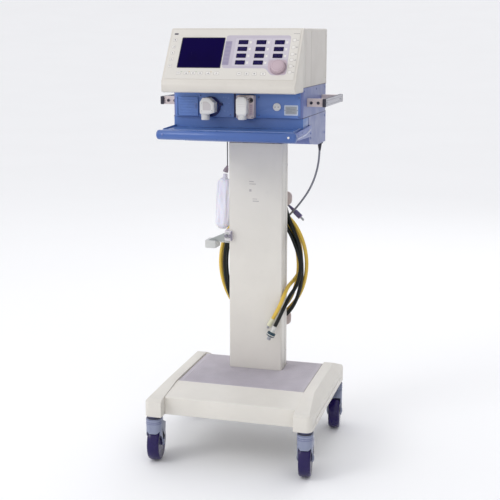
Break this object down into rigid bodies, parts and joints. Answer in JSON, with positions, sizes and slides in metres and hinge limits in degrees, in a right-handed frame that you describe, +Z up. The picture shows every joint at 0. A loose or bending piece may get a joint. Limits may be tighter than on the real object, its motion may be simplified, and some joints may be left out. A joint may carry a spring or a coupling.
{
  "type": "mechanical ventilator",
  "caption": "Hospital ventilator on a wheeled column trolley: sloping control unit with screen, blue gas console, front tray, side rails, coiled gas hoses and mains lead.",
  "frame": {"origin": "on the floor under the middle of the base, at the centre of the object's footprint", "axes": "+X to the right of someone who faces the screen, +Y to the back, +Z up"},
  "size_m": [0.5798, 0.57, 1.4155],
  "materials": {
    "offwhite": "fine moulded texture",
    "blue": "satin powder coat",
    "mat": "ribbed",
    "frame_steel": "powder coat",
    "collar": "matt",
    "fork": "satin",
    "wheel": "smooth rubber",
    "pedal": "matt",
    "blue_dark": "matt",
    "white": "satin",
    "beige": "matt",
    "rail": "brushed",
    "dark": "matt",
    "overlay": "fine matt film",
    "screen": "polished",
    "knob": "matt",
    "steel": "brushed",
    "board": "lacquered",
    "aluminium": "machined",
    "bracket": "matt",
    "bag": "translucent silicone",
    "hose_yellow": "smooth",
    "hose_green": "smooth",
    "teal": "satin",
    "pale": "satin",
    "lead": "smooth",
    "plug": "matt"
  },
  "bodies": {
    "root": {"trolley_frame": "frame_steel", "left_leg": "offwhite", "right_leg": "offwhite", "base_deck": "offwhite", "deck_mat": "mat", "caster_collars": "collar", "column_front_cover": "offwhite", "column_rear_cover": "offwhite", "hose_hooks": "beige", "console_shell": "blue", "front_panel": "blue", "exp_valve_body": "white", "insp_block": "beige", "insp_port": "white", "tray": "blue", "tray_bar": "blue", "tray_arms": "blue", "side_rails": "rail", "rail_standoffs": "beige", "rail_end_caps": "dark", "control_bezel": "offwhite", "panel_overlay": "overlay", "parameter_windows": "screen", "display_window": "screen", "display_module": "dark", "control_board": "board", "rear_housing": "offwhite", "rear_panel": "steel", "power_supply": "aluminium", "gas_mixer": "aluminium", "side_bracket": "bracket", "test_lung": "bag", "test_lung_hanger": "dark", "gas_inlets": "steel", "mains_gland": "dark", "yellow_hose": "hose_yellow", "yellow_coil": "hose_yellow", "yellow_probe": "pale", "green_hose": "hose_green", "green_coil": "hose_green", "green_probe": "teal", "mains_lead": "lead", "mains_coil": "lead", "mains_plug": "plug"},
    "caster_fl": {"fork_fl": "fork"},
    "wheel_fl": {"wheel_fl": "wheel"},
    "pedal_fl": {"pedal_fl": "pedal"},
    "caster_fr": {"fork_fr": "fork"},
    "wheel_fr": {"wheel_fr": "wheel"},
    "pedal_fr": {"pedal_fr": "pedal"},
    "caster_rl": {"fork_rl": "fork"},
    "wheel_rl": {"wheel_rl": "wheel"},
    "caster_rr": {"fork_rr": "fork"},
    "wheel_rr": {"wheel_rr": "wheel"},
    "door": {"sensor_door": "blue"},
    "lock_ring": {"exp_lock_ring": "blue_dark"},
    "coin_lock": {"coin_lock": "white"},
    "encoder": {"encoder_shaft": "steel"},
    "knob": {"rotary_knob": "knob"},
    "switch": {"power_switch": "dark"}
  },
  "joints": [
    {"name": "swivel_fl", "type": "hinge", "parent": "root", "child": "caster_fl", "pos_m": [-0.256, -0.25, 0.157], "axis": [0, 0, 1], "continuous": true},
    {"name": "roll_fl", "type": "hinge", "parent": "caster_fl", "child": "wheel_fl", "pos_m": [-0.2599, -0.22227, 0.0625], "axis": [0.9903, 0.1392, 0], "continuous": true},
    {"name": "brake_fl", "type": "hinge", "parent": "caster_fl", "child": "pedal_fl", "pos_m": [-0.26031, -0.2193, 0.142], "axis": [0.9903, 0.1392, 0], "range_deg": [-12, 0]},
    {"name": "swivel_fr", "type": "hinge", "parent": "root", "child": "caster_fr", "pos_m": [0.256, -0.25, 0.157], "axis": [0, 0, 1], "continuous": true},
    {"name": "roll_fr", "type": "hinge", "parent": "caster_fr", "child": "wheel_fr", "pos_m": [0.2521, -0.22227, 0.0625], "axis": [0.9903, 0.1392, 0], "continuous": true},
    {"name": "brake_fr", "type": "hinge", "parent": "caster_fr", "child": "pedal_fr", "pos_m": [0.25169, -0.2193, 0.142], "axis": [0.9903, 0.1392, 0], "range_deg": [-12, 0]},
    {"name": "swivel_rl", "type": "hinge", "parent": "root", "child": "caster_rl", "pos_m": [-0.256, 0.25, 0.157], "axis": [0, 0, 1], "continuous": true},
    {"name": "roll_rl", "type": "hinge", "parent": "caster_rl", "child": "wheel_rl", "pos_m": [-0.2521, 0.22227, 0.0625], "axis": [-0.9903, -0.1392, 0], "continuous": true},
    {"name": "swivel_rr", "type": "hinge", "parent": "root", "child": "caster_rr", "pos_m": [0.256, 0.25, 0.157], "axis": [0, 0, 1], "continuous": true},
    {"name": "roll_rr", "type": "hinge", "parent": "caster_rr", "child": "wheel_rr", "pos_m": [0.2599, 0.22227, 0.0625], "axis": [-0.9903, -0.1392, 0], "continuous": true},
    {"name": "door_hinge", "type": "hinge", "parent": "root", "child": "door", "pos_m": [-0.197, -0.143, 1.1735], "axis": [0, 0, 1], "range_deg": [-110, 0]},
    {"name": "lock_ring_turn", "type": "hinge", "parent": "root", "child": "lock_ring", "pos_m": [-0.084, -0.144, 1.174], "axis": [0, 1, 0], "range_deg": [0, 45]},
    {"name": "coin_lock_turn", "type": "hinge", "parent": "root", "child": "coin_lock", "pos_m": [0.13, -0.14, 1.176], "axis": [0, 1, 0], "range_deg": [0, 90]},
    {"name": "knob_push", "type": "slide", "parent": "root", "child": "encoder", "axis": [0, 0.829, -0.5593], "range_m": [0, 0.0012], "stiffness_N_per_m": 600, "springref_m": -0.003},
    {"name": "knob_turn", "type": "hinge", "parent": "encoder", "child": "knob", "pos_m": [0.1526, -0.21388, 1.29799], "axis": [0, -0.829, 0.5593], "continuous": true},
    {"name": "switch_rock", "type": "hinge", "parent": "root", "child": "switch", "pos_m": [0.15, 0.2122, 1.3], "axis": [1, 0, 0], "range_deg": [-8, 8]}
  ]
}
